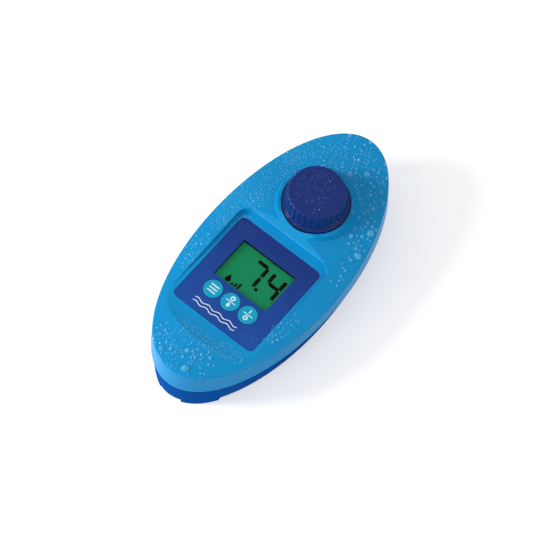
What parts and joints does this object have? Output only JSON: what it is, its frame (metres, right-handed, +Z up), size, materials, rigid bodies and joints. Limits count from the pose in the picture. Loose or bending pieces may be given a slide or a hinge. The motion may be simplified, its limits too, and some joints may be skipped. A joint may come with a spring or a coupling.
{
  "type": "pool water photometer",
  "caption": "Hand-held oval water photometer with a sunken display and keys, a round sample chamber and a fluted plug cap.",
  "frame": {"origin": "on the ground below the centre of the housing's parting line", "axes": "+X to the right of the display, +Y along the housing towards the cap, +Z up"},
  "size_m": [0.0776, 0.1595, 0.0507],
  "materials": {
    "shell_cyan": "glossy moulded plastic, wet",
    "shell_blue": "glossy moulded plastic",
    "cap_navy": "satin moulded plastic with fluted side",
    "label_blue": "printed polyester film",
    "key_cyan": "satin moulded plastic",
    "clear_pane": "clear polished pane",
    "display_green": "liquid crystal glass over a green light",
    "diffuser_white": "milky light guide",
    "black_plastic": "black moulded plastic",
    "black_rubber": "black rubber",
    "silicone_grey": "grey silicone",
    "board_green": "solder-masked glass fibre board",
    "steel": "plain stainless steel",
    "contact_metal": "nickel-plated spring strip",
    "battery_metal": "plain wrapped battery can",
    "filter_amber": "coloured filter glass",
    "lamp_clear": "clear cast resin",
    "plunger_white": "white nylon"
  },
  "bodies": {
    "housing": {"upper_shell": "shell_cyan", "lower_shell": "shell_blue", "shell_seal": "black_rubber", "housing_screws": "steel", "front_label": "label_blue", "display_pane": "clear_pane", "display_gasket": "black_rubber", "display_glass": "display_green", "backlight_panel": "diffuser_white", "display_frame": "black_plastic", "contact_strip": "silicone_grey", "key_mat": "silicone_grey", "main_board": "board_green", "board_screws": "steel", "controller_chip": "black_plastic", "sample_cell": "black_plastic", "cell_seal": "black_rubber", "cell_window_left": "clear_pane", "cell_window_right": "clear_pane", "lamp_holder": "black_plastic", "lamp_board": "board_green", "sensor_holder": "black_plastic", "sensor_board": "board_green", "optical_filter": "filter_amber", "light_sensor": "black_plastic", "battery_left": "battery_metal", "battery_right": "battery_metal", "battery_bridge": "contact_metal", "battery_contact_left": "contact_metal", "battery_contact_right": "contact_metal", "lamp_1": "lamp_clear", "lamp_2": "lamp_clear", "lamp_3": "lamp_clear", "switch_left": "black_plastic", "switch_middle": "black_plastic", "switch_right": "black_plastic"},
    "cap_seal": {"cap_ring": "black_rubber"},
    "cap": {"cap_knob": "cap_navy", "cap_plug": "black_plastic"},
    "left_key": {"key_left": "key_cyan", "plunger_left": "plunger_white"},
    "middle_key": {"key_middle": "key_cyan", "plunger_middle": "plunger_white"},
    "right_key": {"key_right": "key_cyan", "plunger_right": "plunger_white"},
    "door": {"battery_door": "shell_blue", "door_gasket": "black_rubber", "door_screws": "steel"}
  },
  "joints": [
    {"name": "cap_lift", "type": "slide", "parent": "housing", "child": "cap_seal", "axis": [0, 0, 1], "range_m": [0, 0.04]},
    {"name": "cap_turn", "type": "hinge", "parent": "cap_seal", "child": "cap", "pos_m": [0, 0.0345, 0.0382], "axis": [0, 0, 1], "continuous": true},
    {"name": "left_key_press", "type": "slide", "parent": "housing", "child": "left_key", "axis": [0, -0.0499, -0.9988], "range_m": [0, 0.0005], "stiffness_N_per_m": 2500, "springref_m": -0.0004},
    {"name": "middle_key_press", "type": "slide", "parent": "housing", "child": "middle_key", "axis": [0, -0.0499, -0.9988], "range_m": [0, 0.0005], "stiffness_N_per_m": 2500, "springref_m": -0.0004},
    {"name": "right_key_press", "type": "slide", "parent": "housing", "child": "right_key", "axis": [0, -0.0499, -0.9988], "range_m": [0, 0.0005], "stiffness_N_per_m": 2500, "springref_m": -0.0004},
    {"name": "door_release", "type": "slide", "parent": "housing", "child": "door", "axis": [0, 0, -1], "range_m": [0, 0.02]}
  ]
}
